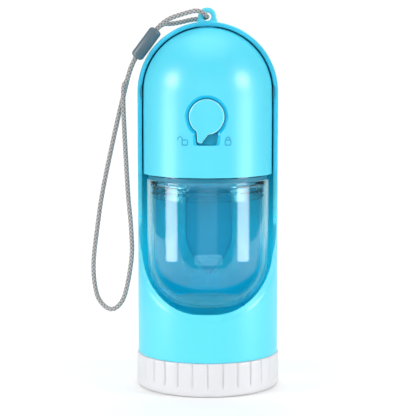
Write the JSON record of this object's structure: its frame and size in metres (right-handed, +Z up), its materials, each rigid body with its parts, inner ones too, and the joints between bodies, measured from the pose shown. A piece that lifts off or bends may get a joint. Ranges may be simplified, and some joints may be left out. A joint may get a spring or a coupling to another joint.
{
  "type": "dog travel water bottle",
  "caption": "Capsule-shaped pet travel bottle: a clear tank under a domed head with a push-and-lock water button, folding out of a scoop-shaped drinking trough on a ribbed screw base.",
  "frame": {"origin": "centre of the base cap's underside, on the surface it stands on", "axes": "+Z up along the capsule, -Y to the front where the button is, +X to the right seen from the front"},
  "size_m": [0.0988, 0.0746, 0.1965],
  "materials": {
    "blue_shell": "satin moulded ABS",
    "collar_blue": "translucent moulded plastic",
    "cap_white": "satin moulded polypropylene",
    "tank_clear": "clear moulded copolyester",
    "silicone": "translucent silicone",
    "nylon": "natural nylon",
    "steel": "stainless steel",
    "cord_grey": "braided polyester cord",
    "sleeve_slate": "moulded slate-grey plastic"
  },
  "bodies": {
    "trough": {"trough_shell": "blue_shell", "divider_disc": "blue_shell", "divider_seal": "silicone", "left_pivot_washer": "nylon", "right_pivot_washer": "nylon", "lanyard_cord": "cord_grey", "lanyard_sleeve": "sleeve_slate"},
    "bottle_head": {"head_shell": "blue_shell", "neck_collar": "collar_blue", "collar_seal": "silicone", "left_pivot_pin": "steel", "right_pivot_pin": "steel", "stem_gland": "nylon", "stem_o_ring": "silicone", "outlet_seat": "silicone", "return_spring": "steel"},
    "valve": {"valve_stem": "nylon", "valve_seal": "silicone", "seal_washer": "steel", "seal_screw": "steel", "button_clip": "nylon"},
    "button": {"lock_button": "blue_shell"},
    "tank_ring": {"neck_gasket": "silicone"},
    "tank": {"water_tank": "tank_clear"},
    "base_ring": {"base_gasket": "silicone"},
    "base": {"base_cap": "cap_white"}
  },
  "joints": [
    {"name": "bottle_fold", "type": "hinge", "parent": "trough", "child": "bottle_head", "pos_m": [0, 0, 0.153], "axis": [-1, 0, 0], "range_deg": [0, 90]},
    {"name": "button_press", "type": "slide", "parent": "bottle_head", "child": "valve", "axis": [0, 1, 0], "range_m": [0, 0.003], "stiffness_N_per_m": 900, "springref_m": -0.002, "deforming": ["return_spring"]},
    {"name": "lock_turn", "type": "hinge", "parent": "valve", "child": "button", "pos_m": [0, -0.03, 0.1416], "axis": [0, -1, 0], "range_deg": [0, 30.6]},
    {"name": "tank_turn", "type": "hinge", "parent": "bottle_head", "child": "tank_ring", "pos_m": [0, 0, 0.1083], "axis": [0, 0, -1], "range_deg": [0, 360]},
    {"name": "tank_lower", "type": "slide", "parent": "tank_ring", "child": "tank", "axis": [0, 0, -1], "range_m": [0, 0.003]},
    {"name": "base_turn", "type": "hinge", "parent": "trough", "child": "base_ring", "pos_m": [0, 0, 0.01], "axis": [0, 0, -1], "range_deg": [0, 360]},
    {"name": "base_lower", "type": "slide", "parent": "base_ring", "child": "base", "axis": [0, 0, -1], "range_m": [0, 0.003]}
  ],
  "couplings": [
    {"joint": "tank_lower", "follows": "tank_turn", "m_per_rad": 0.00047746},
    {"joint": "base_lower", "follows": "base_turn", "m_per_rad": 0.00047746}
  ]
}
